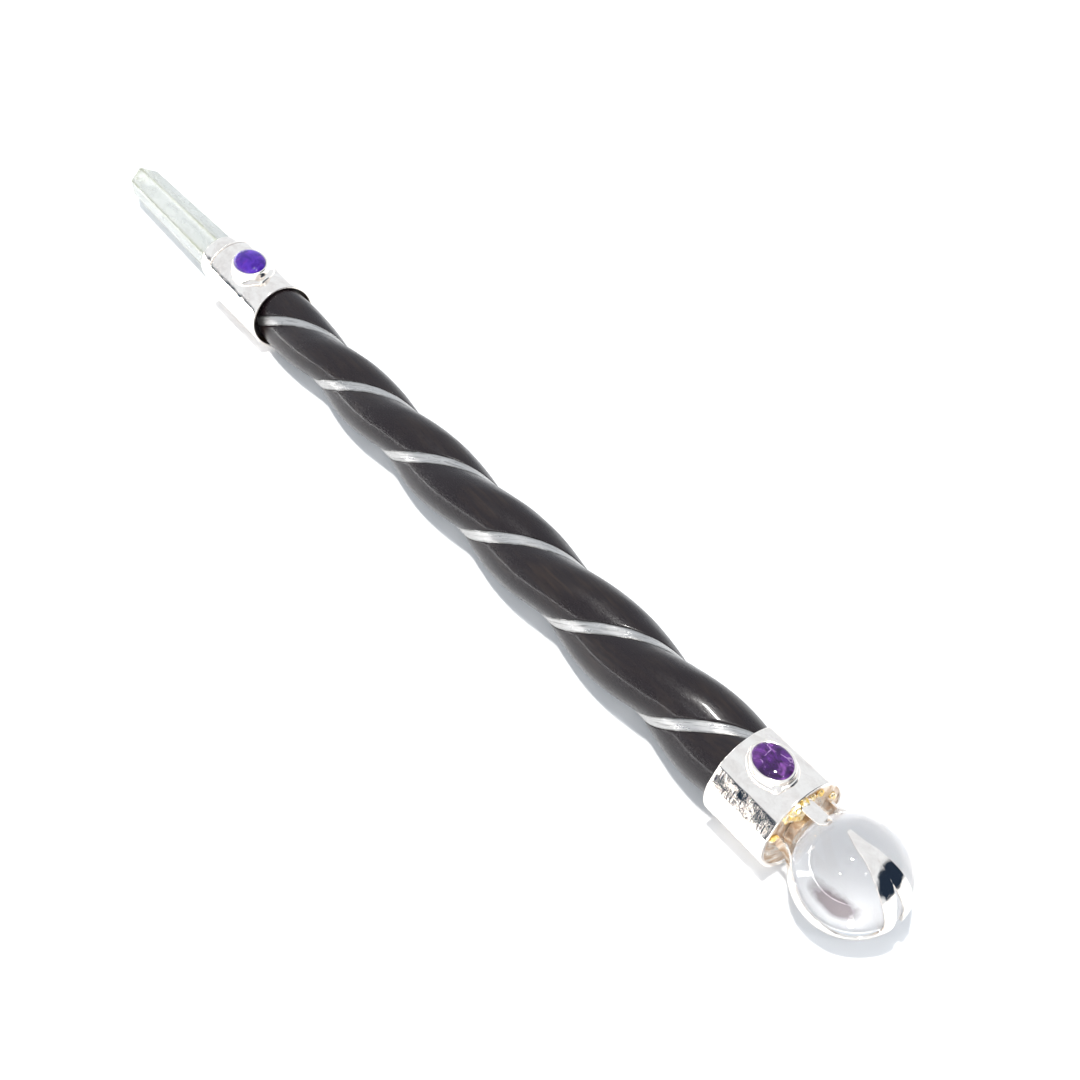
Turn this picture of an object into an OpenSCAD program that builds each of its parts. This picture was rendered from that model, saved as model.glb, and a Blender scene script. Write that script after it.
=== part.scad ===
// Magic wand: a carved wooden twist shaft with two silver fittings, a quartz
// point held in the upper fitting and a clear ball held by a claw on the lower one.
// The wand lies on its ball and on the filed flat under its upper fitting.
// It runs along X, with the ball towards +X and both stones facing up.

/* [Wood shaft] */
// Length of bare wood between the two fittings
wood_len = 160; // [120:1:220]
// Reach of the twist's lobes at the upper end of their taper
lobe_r_upper = 6.35; // [5.8:0.05:8]
// Reach of the twist's lobes beside the lower fitting
lobe_r_lower = 8.45; // [7:0.05:11]
// How much the lobes swell where they run into the upper fitting
upper_swell = 0.85; // [0:0.05:1.5]
// Length of one full turn of the twist
turn_len = 58.2; // [40:0.2:90]
// Roundness of each lobe, as its own radius over its reach
lobe_round = 0.77; // [0.72:0.01:0.9]
// Extra turn of the twist, in degrees, by the time it reaches the lower fitting
late_turn = 15; // [0:1:30]
// How far the twist runs on inside each fitting
twist_under = 2.5; // [1:0.1:4]

/* [Inlay strips] */
// Width of a strip, square to its run
strip_w = 2.3; // [1.5:0.1:3]
// Thickness of a strip
strip_t = 0.8; // [0.4:0.1:1.2]

/* [Fittings] */
// Wall of the upper sleeve
upper_wall = 0.65; // [0.5:0.05:1.2]
// Wall of the lower sleeve
lower_wall = 0.9; // [0.5:0.05:1.5]
// Clearance between the twist's lobes and a sleeve's mouth
rim_gap = 0.15; // [0.1:0.05:0.4]
// Length of the upper fitting's body, with its shoulder disc
upper_len = 23.7; // [19:0.1:32]
// Length of the lower fitting
lower_len = 14.4; // [12:0.1:20]
// Thickness of the shoulder disc on the upper sleeve
shoulder_t = 1; // [0.6:0.1:1.6]
// Height of the collar round the quartz point
collar_len = 6; // [4:0.1:9]
// Wall of the collar
collar_wall = 0.7; // [0.4:0.1:1]
// Thickness of the plate that closes the lower sleeve
end_plate_t = 1.2; // [0.8:0.1:2]
// How far the end plate is set back inside the sleeve's rim
end_plate_recess = 0.3; // [0:0.1:0.8]
// Greatest depth of the flat filed under the upper fitting
flat_depth = 0.45; // [0.3:0.05:0.6]

/* [Quartz point] */
// Radius of the quartz across its corners, at the collar
quartz_r = 5; // [4.4:0.1:6.2]
// Radius across corners just below the natural tip
quartz_end_r = 4.25; // [3.8:0.05:6]
// Length of quartz that stands out of the collar
quartz_out = 49.7; // [35:0.1:65]
// Height of the six-sided tip
quartz_tip_h = 5.8; // [4:0.1:8]
// Depth of the quartz below the shoulder disc
quartz_root = 5; // [4:0.1:7]

/* [Upper stone] */
// Length of the oval stone, along the wand
upper_stone_len = 9.5; // [6:0.1:11]
// Width of the oval stone
upper_stone_w = 7; // [5:0.1:8]
// Height of the stone's straight edge
upper_stone_edge = 1.2; // [0.6:0.1:2]
// Height of the dome above that edge
upper_stone_dome = 1.9; // [1:0.1:3.5]
// How far the base plate stands out round the bezel's wall
upper_lip = 0.85; // [0.4:0.05:1.2]
// Distance from the sleeve's mouth to the stone's middle
upper_stone_in = 11; // [9:0.1:14]

/* [Lower stone] */
// Length of the oval stone, along the wand
lower_stone_len = 8; // [6:0.1:9]
// Width of the oval stone
lower_stone_w = 6.2; // [5:0.1:7.5]
// Height of the stone's straight edge
lower_stone_edge = 0.7; // [0.5:0.1:2]
// Height of the dome above that edge
lower_stone_dome = 1.2; // [0.8:0.1:3]
// How far the base plate stands out round the bezel's wall
lower_lip = 0.5; // [0.3:0.05:1]
// Distance from the sleeve's mouth to the stone's middle
lower_stone_in = 6.8; // [6:0.1:9]

/* [Bezels] */
// Thickness of each bezel's wall
bezel_wall_t = 0.5; // [0.3:0.05:0.8]
// How far the wall stands above the stone's straight edge
bezel_hold = 0.3; // [0.1:0.05:0.6]
// Thickness of each base plate above the top of its sleeve
bezel_plate_t = 0.6; // [0.4:0.1:1]
// Angle by which the stones are turned round the wand, in degrees
stone_turn = 4.5; // [0:0.5:10]

/* [Ball and claw] */
// Radius of the clear ball
ball_r = 10; // [8:0.1:12.5]
// Gap between the end plate and the ball
ball_gap = 1.8; // [1:0.1:3]
// Thickness of the claw's sheet
claw_t = 0.5; // [0.4:0.05:1]
// Radius of the dished seat under the ball
seat_r = 4; // [2.5:0.1:5]

/* [Hidden] */
$fn = 72;

glue_t = 0.5;             // glue between a tenon and its sleeve
end_gap = 0.5;            // air past a tenon's end
cement_floor = 1.5;       // cement behind the root of the quartz
cement_recess = 0.5;      // collar left empty above the cement
quartz_play = 0.3;        // cement at the corners of the quartz
fit_gap = 0.03;           // hair gap between pieces that only touch
strip_gap = 0.06;         // glue line round a strip in its slot
strip_crown = 0.15;       // ridge along the middle of a strip
strip_end_gap = 0.4;      // strip stops short of the tenon's shoulder
tenon_step = 0.2;         // length over which the twist turns into the tenon
swell_len = 7;            // length over which the swelling dies away
late_len = 35;            // stretch of wood that the late turn works over
claw_gap = 0.08;          // claw clear of the ball
foot_inset = 2.7;         // plate left showing outside the claw's feet
prong_inset = 0.65;       // plate left showing outside the rear prong's foot
bead_r = 0.9;             // radius of a solder bead

shaft_rings = 100;        // rings along the twist
lobe_steps = 14;          // steps round each lobe
stone_sides = 32;         // points round each stone
stone_rings = 6;          // rings up each dome
claw_steps = 3;           // rings for each stretch of a claw strap
dome_top_share = 0.12;    // width left at the last ring of a dome

// Stations along the wand's axis, from the mouth of the upper sleeve
x_upper_end = -upper_len;
x_sleeve_top = x_upper_end + shoulder_t;
x_collar_end = x_upper_end - collar_len;
x_quartz_root = x_sleeve_top + quartz_root;
x_quartz_tip = x_collar_end - quartz_out;
x_cement_end = x_quartz_root + cement_floor;
x_upper_tenon_end = x_cement_end + end_gap;
x_lower = wood_len;
x_lower_end = x_lower + lower_len;
x_plate_face = x_lower_end - end_plate_recess;
x_plate_back = x_plate_face - end_plate_t;
x_lower_tenon_end = x_plate_back - end_gap;
x_ball = x_plate_face + ball_gap + ball_r;

// Radii that follow from the wood and the quartz
upper_in = lobe_r_upper + upper_swell + rim_gap;
upper_out = upper_in + upper_wall;
lower_in = lobe_r_lower + rim_gap;
lower_out = lower_in + lower_wall;
collar_in = quartz_r + quartz_play;
collar_out = collar_in + collar_wall;
upper_tenon_r = upper_in - glue_t;
lower_tenon_r = lower_in - glue_t;

// Lobes stand square to the wand's showing side at this station and angle
lobe_x = 36.7;
lobe_angle = 26.7;

// How the wand lies: tangent to the ball and cutting the flat under the upper fitting
tilt = asin((ball_r + flat_depth - upper_out) / (x_ball - x_upper_end));
lift = ball_r - x_ball * sin(tilt);

// Claw straps, measured from the ball's centre, with smooth curves through their points
skin_r = ball_r + claw_gap;
plate_x = -ball_r - ball_gap;
foot_r = lower_in - claw_t - foot_inset;
prong_r = lower_in - claw_t - prong_inset;
function on_ball(p) = p * skin_r / norm(p);
function off_ball(p) = norm(p) < skin_r ? on_ball(p) : p;
function near(list, i) = list[max(0, min(len(list) - 1, i))];
function curve_at(list, i, t) =
    let (a = near(list, i - 1), b = near(list, i), c = near(list, i + 1), d = near(list, i + 2))
    (2 * b + (c - a) * t + (2 * a - 5 * b + 4 * c - d) * t * t
        + (3 * b - a - 3 * c + d) * t * t * t) / 2;
function smooth(list) = concat(
    [for (i = [0 : len(list) - 2], k = [0 : claw_steps - 1])
        off_ball(curve_at(list, i, k / claw_steps))],
    [list[len(list) - 1]]);

// A strap's thickness points away from the ball, or from the wand's axis behind the ball
lean_from = 0.4 * ball_r;
function lean(x) = x > -lean_from ? x : min(0, -2 * lean_from - x);
function outward(p) = let (n = [lean(p[0]), p[1], p[2]]) p + claw_t * n / norm(n);
function strap_rings(edge_a, edge_b) =
    let (a = smooth(edge_a), b = smooth(edge_b))
    [for (i = [0 : len(a) - 1]) let (m = off_ball((a[i] + b[i]) / 2))
        [a[i], m, b[i], outward(b[i]), outward(m), outward(a[i])]];

// Edges of one side of the fork: down the leaf, past the slot, and back to the plate
foot_x = -0.92 * ball_r;
leaf_right = [0.32, 0.52, 1.52, 3.02, 3.2];
leaf_left = [0.42, 1.48, 2.02, 2.92, 3];
function fork_outer(leaf) = concat(
    [for (p = [[-2.4, leaf[0], 10], [0.6, leaf[1], 10], [3.7, leaf[2], 9.5], [8.2, leaf[3], 5.5],
        [9.7, leaf[4], 1.4], [9.2, 3.3, -0.9], [8.2, 5.2, -2.1], [6.2, 7.6, -2.2], [3, 9.6, -0.6],
        [-0.6, 10, 0.6], [-4, 9, 1.8], [-7, 6.9, 2.1]]) on_ball(p)],
    [[foot_x, foot_r + 0.3, 2.3], [plate_x, foot_r, 2.5]]);
fork_inner = concat(
    [for (p = [[-2.4, 0, 10], [0.6, 0, 10], [3.7, 0, 9.5], [7.2, 0, 7.2], [9.9, 0.9, 2],
        [9.7, 1.2, -2.4], [8.6, 3.6, -4.5], [6.6, 6.2, -5.2], [3.6, 8.8, -4], [-0.6, 9.8, -2.6],
        [-4, 9.1, -1.4], [-7, 7.1, -1]]) on_ball(p)],
    [[foot_x, foot_r + 0.3, -0.8], [plate_x, foot_r, -0.6]]);
right_rings = strap_rings(fork_outer(leaf_right), fork_inner);
left_rings = strap_rings(fork_outer(leaf_left), fork_inner);
claw_reach = max([for (ring = concat(right_rings, left_rings), p = ring) p[0]]);
x_mid = cos(tilt) * (x_quartz_tip + x_ball + claw_reach) / 2;

module lay() translate([-x_mid, 0, lift]) rotate([0, -tilt, 0]) children();

module under_floor() {
    side = 4 * (wood_len + upper_len);
    translate([-side / 2, -side / 2, -side]) cube(side);
}

module rod(x0, x1, r, sides = $fn) {
    translate([x0, 0, 0]) rotate([0, 90, 0]) cylinder(h = x1 - x0, r = r, $fn = sides);
}

module tube(x0, x1, r_in, r_out) {
    cut = 1;
    difference() {
        rod(x0, x1, r_out);
        rod(x0 - cut, x1 + cut, r_in);
    }
}

// A closed skin through rings that all have the same number of points
module loft(rings) {
    n = len(rings);
    m = len(rings[0]);
    polyhedron(
        points = [for (ring = rings) each ring],
        faces = concat(
            [[for (j = [0 : m - 1]) j]],
            [for (i = [0 : n - 2], j = [0 : m - 1], half = [0, 1])
                let (a = i * m + j, b = i * m + (j + 1) % m)
                half == 0 ? [a, a + m, b] : [b, a + m, b + m]],
            [[for (j = [m - 1 : -1 : 0]) (n - 1) * m + j]]
        )
    );
}

// Reach of the twist's lobes at a station, and the two circles that make its section
function lobe_r(x) = lobe_r_upper + (lobe_r_lower - lobe_r_upper) * min(1, max(0, x / wood_len))
    + upper_swell * exp(-max(0, x) / swell_len);
function round_r(x) = lobe_round * lobe_r(x);
function round_off(x) = lobe_r(x) - round_r(x);
function lobe_v(x, u) = sqrt(pow(round_r(x), 2) - pow(round_off(x) - u, 2));
function late(x) = max(0, x - wood_len + late_len) / late_len;
function twist_angle(x) = lobe_angle - 360 * (x - lobe_x) / turn_len - late_turn * pow(late(x), 2);
function placed(x, p, w) = [x, p[0] * cos(w) - p[1] * sin(w), p[0] * sin(w) + p[1] * cos(w)];

// A strip leans across the wand, so its section at a station is wider than the strip
function strip_half(x) = strip_w / 2 / cos(atan(2 * PI * lobe_v(x, 0) / turn_len));

// Section of the wood: two round lobes, parted by a slot for each strip
function wood_section(x) =
    let (mid = round_off(x), r = round_r(x), h = strip_half(x) + strip_gap, v = lobe_v(x, h),
        slot_floor = lobe_v(x, strip_half(x)) - strip_t - strip_gap, span = atan2(v, h - mid),
        lobe = [for (k = [0 : lobe_steps]) let (a = span * (2 * k / lobe_steps - 1))
            [mid + r * cos(a), r * sin(a)]],
        side = concat(lobe, [[h, slot_floor], [-h, slot_floor]]))
    concat(side, [for (p = side) -p]);
function twist_ring(x) = [for (p = wood_section(x)) placed(x, p, twist_angle(x))];
function tenon_ring(x, r, at) =
    let (n = 2 * lobe_steps + 6)
    [for (k = [0 : n - 1]) placed(x, [r, 0], twist_angle(at) + 360 * (k - lobe_steps / 2) / n)];

x_twist_0 = -twist_under;
x_twist_1 = x_lower + twist_under;
function twist_x(i) = x_twist_0 + (x_twist_1 - x_twist_0) * i / shaft_rings;

module twist_shaft() {
    color("#2b2523") lay() loft(concat(
        [tenon_ring(x_upper_tenon_end, upper_tenon_r, x_twist_0),
         tenon_ring(x_twist_0 - tenon_step, upper_tenon_r, x_twist_0)],
        [for (i = [0 : shaft_rings]) twist_ring(twist_x(i))],
        [tenon_ring(x_twist_1 + tenon_step, lower_tenon_r, x_twist_1),
         tenon_ring(x_lower_tenon_end, lower_tenon_r, x_twist_1)]
    ));
}

// Section of a strip at a station: its edges level with the wood, a low ridge between them
function strip_ring(x, side) =
    let (h = strip_half(x), top = lobe_v(x, h), section = [[top - strip_t, -h], [top, -h],
        [top + strip_crown, 0], [top, h], [top - strip_t, h]])
    [for (p = section) placed(x, p, twist_angle(x) + side)];

module inlay_strip(side) {
    x0 = x_twist_0 + strip_end_gap;
    x1 = x_twist_1 - strip_end_gap;
    color("#b9b7b2") lay() loft([for (i = [0 : shaft_rings])
        strip_ring(x0 + (x1 - x0) * i / shaft_rings, side)]);
}

module inlay_strip_a() inlay_strip(90);
module inlay_strip_b() inlay_strip(-90);

module upper_glue() {
    color("#8a6a3c") lay()
        tube(x_upper_tenon_end, x_twist_0 - tenon_step, upper_tenon_r, upper_in);
}

module lower_glue() {
    color("#8a6a3c") lay()
        tube(x_twist_1 + tenon_step, x_lower_tenon_end, lower_tenon_r, lower_in);
}

// Upper fitting: sleeve, shoulder disc and collar, with the filed flat underneath
module upper_sleeve() {
    color("#dcdcde") difference() {
        lay() tube(x_sleeve_top, 0, upper_in, upper_out);
        under_floor();
    }
}

module upper_shoulder() {
    color("#d2d0cc") difference() {
        lay() tube(x_upper_end, x_sleeve_top, collar_in, upper_out);
        under_floor();
    }
}

module upper_collar() {
    color("#d8d8da") lay() tube(x_collar_end, x_upper_end, collar_in, collar_out);
}

module quartz_cement() {
    cut = 1;
    color("#cfcabd") lay() difference() {
        union() {
            rod(x_sleeve_top, x_cement_end, upper_in);
            rod(x_collar_end + cement_recess, x_sleeve_top + cut, collar_in);
        }
        rod(x_collar_end - cut, x_quartz_root, quartz_r, 6);
    }
}

// Six corners of the quartz, the first one up, each set back by its own amount
function hex_ring(x, r, set_back = [0, 0, 0, 0, 0, 0]) = [for (k = [0 : 5])
    [x + set_back[k], r * sin(60 * k), r * cos(60 * k)]];

// The tip is blunt: a short ridge that leads towards the second corner
ridge_half = 1.3;
ridge_thin = 0.25;
ridge_angle = 63;
function tip_ring(x) = [for (k = [0 : 5])
    let (a = 60 * (k - 1), p = [ridge_half * cos(a), ridge_thin * sin(a)])
    [x, p[0] * sin(ridge_angle) + p[1] * cos(ridge_angle),
        p[0] * cos(ridge_angle) - p[1] * sin(ridge_angle)]];

module quartz_point() {
    shoulder_set = [0, 1.4, 0.3, 2, 0.5, 0.9];
    x_tip_base = x_quartz_tip + quartz_tip_h;
    color("#e4e8e0", 0.6) lay() loft([
        tip_ring(x_quartz_tip),
        hex_ring(x_tip_base, quartz_end_r, shoulder_set),
        hex_ring(x_collar_end, quartz_r),
        hex_ring(x_quartz_root, quartz_r)
    ]);
}

// Lower fitting: sleeve and the plate that closes it
module lower_sleeve() {
    color("#dcdcde") lay() tube(x_lower, x_lower_end, lower_in, lower_out);
}

module end_plate() {
    color("#b08a5a") lay() rod(x_plate_back, x_plate_face, lower_in);
}

// Oval stones in bezels, on the top of each sleeve
function oval(half_len, half_w) = [for (k = [0 : stone_sides - 1])
    let (a = 360 * k / stone_sides) [half_len * cos(a), half_w * sin(a)]];

module on_top(x, z) lay() rotate([stone_turn, 0, 0]) translate([x, 0, z]) children();

module bezel_plate(x, r, half_len, half_w, lip) {
    grow = bezel_wall_t + lip;
    skirt = r - sqrt(pow(r, 2) - pow(half_w + grow, 2));
    color("#d6d6d8") difference() {
        on_top(x, r - skirt) linear_extrude(skirt + bezel_plate_t)
            polygon(oval(half_len + grow, half_w + grow));
        lay() rod(x - 2 * half_len, x + 2 * half_len, r);
    }
}

module bezel_wall(x, r, half_len, half_w, edge) {
    color("#e2e2e4") on_top(x, r + bezel_plate_t) linear_extrude(edge + bezel_hold) difference() {
        polygon(oval(half_len + bezel_wall_t, half_w + bezel_wall_t));
        polygon(oval(half_len + fit_gap, half_w + fit_gap));
    }
}

module stone(x, r, half_len, half_w, edge, dome) {
    function level(s, z) = [for (p = oval(half_len * s, half_w * s)) [p[0], p[1], z]];
    color("#6a2fb0") on_top(x, r + bezel_plate_t) loft(concat(
        [level(1, 0), level(1, edge)],
        [for (i = [1 : stone_rings]) let (a = 90 * i / stone_rings)
            level(max(dome_top_share, cos(a)), edge + dome * sin(a))]));
}

x_upper_stone = -upper_stone_in;
x_lower_stone = x_lower + lower_stone_in;
module upper_bezel_plate()
    bezel_plate(x_upper_stone, upper_out, upper_stone_len / 2, upper_stone_w / 2, upper_lip);
module upper_bezel_wall()
    bezel_wall(x_upper_stone, upper_out, upper_stone_len / 2, upper_stone_w / 2, upper_stone_edge);
module upper_stone()
    stone(x_upper_stone, upper_out, upper_stone_len / 2, upper_stone_w / 2,
        upper_stone_edge, upper_stone_dome);
module lower_bezel_plate()
    bezel_plate(x_lower_stone, lower_out, lower_stone_len / 2, lower_stone_w / 2, lower_lip);
module lower_bezel_wall()
    bezel_wall(x_lower_stone, lower_out, lower_stone_len / 2, lower_stone_w / 2, lower_stone_edge);
module lower_stone()
    stone(x_lower_stone, lower_out, lower_stone_len / 2, lower_stone_w / 2,
        lower_stone_edge, lower_stone_dome);

// Ball, its seat and the claw that holds it, measured from the ball's centre
module at_ball() lay() translate([x_ball, 0, 0]) children();

module clear_ball() {
    color("#eef0f2", 0.5) at_ball() sphere(r = ball_r);
}

module ball_seat() {
    color("#c9a86a") at_ball() difference() {
        rod(-ball_r - ball_gap, -ball_r, seat_r);
        sphere(r = ball_r + fit_gap);
    }
}

module claw_fork() {
    color("#e0e0e2") at_ball() union() {
        loft(right_rings);
        mirror([0, 1, 0]) loft(left_rings);
    }
}

// A short bent prong that stands on the plate and leans over the back of the ball
prong_w = 3.2;
prong_tip_w = 1.4;
prong_shift = -0.7;
prong_bend = [[plate_x, prong_r], [-8.6, prong_r], [-6.6, 7.8], [-5, 8.95]];
module rear_prong() {
    outer = [for (i = [3 : -1 : 0]) prong_bend[i] + claw_t * [i == 0 ? 0 : -0.35, 0.94]];
    color("#dadadc") at_ball() translate([0, prong_shift, 0]) intersection() {
        translate([0, prong_w / 2, 0]) rotate([90, 0, 0])
            linear_extrude(prong_w) polygon(concat(prong_bend, outer));
        linear_extrude(2 * ball_r) polygon([[plate_x - 1, -prong_w / 2], [-8, -prong_w / 2],
            [-5, -prong_tip_w / 2], [-4, -prong_tip_w / 2], [-4, prong_tip_w / 2],
            [-5, prong_tip_w / 2], [-8, prong_w / 2], [plate_x - 1, prong_w / 2]]);
    }
}

module solder_beads() {
    bead_ring = lower_in - 1.3;
    color("#d8b25a") at_ball() difference() {
        for (a = [18, 62, 118, 162]) translate([plate_x, bead_ring * cos(a), bead_ring * sin(a)])
            sphere(r = bead_r);
        rod(plate_x - 2 * bead_r, plate_x, lower_in);
    }
}

quartz_point();
quartz_cement();
upper_collar();
upper_shoulder();
upper_sleeve();
upper_bezel_plate();
upper_bezel_wall();
upper_stone();
upper_glue();
twist_shaft();
inlay_strip_a();
inlay_strip_b();
lower_glue();
lower_sleeve();
end_plate();
lower_bezel_plate();
lower_bezel_wall();
lower_stone();
ball_seat();
claw_fork();
rear_prong();
solder_beads();
clear_ball();
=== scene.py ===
import math

import bmesh
import bpy
from bpy.props import FloatProperty, FloatVectorProperty, PointerProperty
from mathutils import Matrix, Vector, noise


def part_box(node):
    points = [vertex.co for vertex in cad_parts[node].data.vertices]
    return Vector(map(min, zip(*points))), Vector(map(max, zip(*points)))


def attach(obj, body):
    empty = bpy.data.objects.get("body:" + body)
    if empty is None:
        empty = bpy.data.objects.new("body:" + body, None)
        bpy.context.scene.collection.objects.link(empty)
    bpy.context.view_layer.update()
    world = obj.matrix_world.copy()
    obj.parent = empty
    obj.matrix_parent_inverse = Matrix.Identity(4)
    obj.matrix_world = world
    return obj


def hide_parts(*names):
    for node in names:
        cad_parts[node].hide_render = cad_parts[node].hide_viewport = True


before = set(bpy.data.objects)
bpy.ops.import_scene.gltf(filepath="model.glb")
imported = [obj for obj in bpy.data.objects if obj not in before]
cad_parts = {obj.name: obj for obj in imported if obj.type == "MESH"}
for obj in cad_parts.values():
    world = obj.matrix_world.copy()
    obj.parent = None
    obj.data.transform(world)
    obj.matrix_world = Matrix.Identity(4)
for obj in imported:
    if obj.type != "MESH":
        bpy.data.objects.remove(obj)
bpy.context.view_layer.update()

bl_info = {
    "name": "Crystal Wand",
    "version": (1, 0, 0),
    "blender": (4, 5, 0),
    "location": "3D View > Sidebar > Wand",
    "description": "Builds a carved wand with silver fittings, stones, a quartz point and a clear ball",
    "category": "Add Mesh",
}

MM = 0.001
WELD = 1e-7
BODY = "root"


# ---------------------------------------------------------------------------
# The wand's own frame: X along its axis from the upper sleeve's mouth, Z up through the stones
# ---------------------------------------------------------------------------

def node_points(node, to_frame):
    """A CAD node's points, measured in another frame."""
    return [to_frame @ v.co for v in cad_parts[node].data.vertices]


def corners(node, to_frame):
    """Lowest and highest corner of a CAD node, measured in another frame."""
    points = node_points(node, to_frame)
    return [Vector([pick(p[i] for p in points) for i in range(3)]) for pick in (min, max)]


def middle_of(node):
    """Middle of a CAD node's box, where it stands."""
    return sum(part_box(node), Vector()) / 2


def wand_frame():
    """The frame that the wand's axis makes with the table's Y."""
    ball = middle_of("clear_ball")
    axis = (ball - middle_of("upper_collar")).normalized()
    side = Vector((0, 1, 0))
    matrix = Matrix((axis, side, axis.cross(side))).transposed().to_4x4()
    matrix.translation = ball
    mouth = corners("upper_sleeve", matrix.inverted())[1].x
    matrix.translation = ball + axis * mouth
    return matrix


WAND = wand_frame()
TO_WAND = WAND.inverted()


def span(node):
    """Where a CAD node starts and ends along the wand, and its reach from the axis."""
    points = node_points(node, TO_WAND)
    runs = [p.x for p in points]
    return min(runs), max(runs), max(math.hypot(p.y, p.z) for p in points)


def bore(node):
    """Smallest distance of a CAD tube's wall from the wand's axis."""
    return min(math.hypot(p.y, p.z) for p in node_points(node, TO_WAND))


# ---------------------------------------------------------------------------
# Settings
# ---------------------------------------------------------------------------

class WandTwist(bpy.types.PropertyGroup):
    """Sizes of the carved shaft and its strips."""
    reach_upper: FloatProperty(
        name="Upper reach", description="Reach of the lobes at the upper end of their taper",
        default=6.35 * MM, unit="LENGTH")
    reach_lower: FloatProperty(
        name="Lower reach", description="Reach of the lobes beside the lower fitting",
        default=8.45 * MM, unit="LENGTH")
    swell: FloatProperty(
        name="Swell", description="How much the lobes swell at the upper fitting",
        default=0.85 * MM, unit="LENGTH")
    swell_len: FloatProperty(
        name="Swell length", description="Length over which the swelling dies away",
        default=7 * MM, unit="LENGTH")
    turn_len: FloatProperty(
        name="Turn length", description="Length of one full turn of the twist",
        default=58.2 * MM, unit="LENGTH")
    late_turn: FloatProperty(
        name="Late turn", description="Extra turn by the lower fitting",
        default=math.radians(15), subtype="ANGLE")
    late_len: FloatProperty(
        name="Late length", description="Stretch of wood that the late turn works over",
        default=35 * MM, unit="LENGTH")
    lobe_x: FloatProperty(
        name="Lobe station", description="Where the lobes stand at the lobe angle",
        default=36.7 * MM, unit="LENGTH")
    lobe_angle: FloatProperty(
        name="Lobe angle", description="Angle of the lobes at the lobe station",
        default=math.radians(26.7), subtype="ANGLE")
    roundness: FloatProperty(
        name="Roundness", description="Own radius of a lobe over its reach",
        default=0.77, min=0.72, max=0.9)
    strip_w: FloatProperty(
        name="Strip width", description="Width of an inlaid strip",
        default=2.3 * MM, unit="LENGTH")
    strip_t: FloatProperty(
        name="Strip thickness", description="Thickness of a strip",
        default=0.8 * MM, unit="LENGTH")
    crown: FloatProperty(
        name="Strip crown", description="Rise along the middle of a strip",
        default=0.15 * MM, unit="LENGTH")


class WandQuartz(bpy.types.PropertyGroup):
    """Sizes of the quartz point."""
    end_reach: FloatProperty(
        name="Reach below the tip", description="Radius across corners below the tip",
        default=4.25 * MM, unit="LENGTH")
    tip_h: FloatProperty(
        name="Tip height", description="Height of the six-sided tip",
        default=5.8 * MM, unit="LENGTH")
    ridge_half: FloatProperty(
        name="Ridge", description="Half the length of the ridge at the tip",
        default=1.3 * MM, unit="LENGTH")
    ridge_angle: FloatProperty(
        name="Ridge angle", description="Angle of the ridge from the top corner",
        default=math.radians(63), subtype="ANGLE")
    edge_round: FloatProperty(
        name="Edge rounding", description="Width of the worn edges",
        default=0.12 * MM, unit="LENGTH")


class WandSettings(bpy.types.PropertyGroup):
    """Sizes of the stones' settings and the claw."""
    stone_turn: FloatProperty(
        name="Stone turn", description="Angle by which the stones are turned round the wand",
        default=math.radians(4.5), subtype="ANGLE")
    hold: FloatProperty(
        name="Bezel hold", description="How far a bezel stands above its stone's straight edge",
        default=0.3 * MM, unit="LENGTH")
    rim_round: FloatProperty(
        name="Rim rounding", description="Rounding of the sleeves' rims",
        default=0.26 * MM, unit="LENGTH")
    flat_angle: FloatProperty(
        name="Flat angle", description="Where the lower sleeve is hammered flat",
        default=math.radians(145.2), subtype="ANGLE")
    flat_width: FloatProperty(
        name="Flat width", description="Half the angle that the hammered flat spans",
        default=math.radians(13.5), subtype="ANGLE")
    claw_t: FloatProperty(
        name="Claw thickness", description="Thickness of the claw's sheet",
        default=0.48 * MM, unit="LENGTH")
    claw_gap: FloatProperty(
        name="Claw gap", description="Gap between the claw and the ball",
        default=0.08 * MM, unit="LENGTH")
    foot_inset: FloatProperty(
        name="Foot inset", description="End plate left showing outside the claw's feet",
        default=2.7 * MM, unit="LENGTH")
    prong_inset: FloatProperty(
        name="Prong inset", description="End plate left showing outside the prong's foot",
        default=0.65 * MM, unit="LENGTH")
    prong_w: FloatProperty(
        name="Prong width", description="Width of the rear prong",
        default=3.2 * MM, unit="LENGTH")
    prong_shift: FloatProperty(
        name="Prong shift", description="Sideways place of the rear prong",
        default=-0.7 * MM, unit="LENGTH")


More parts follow.
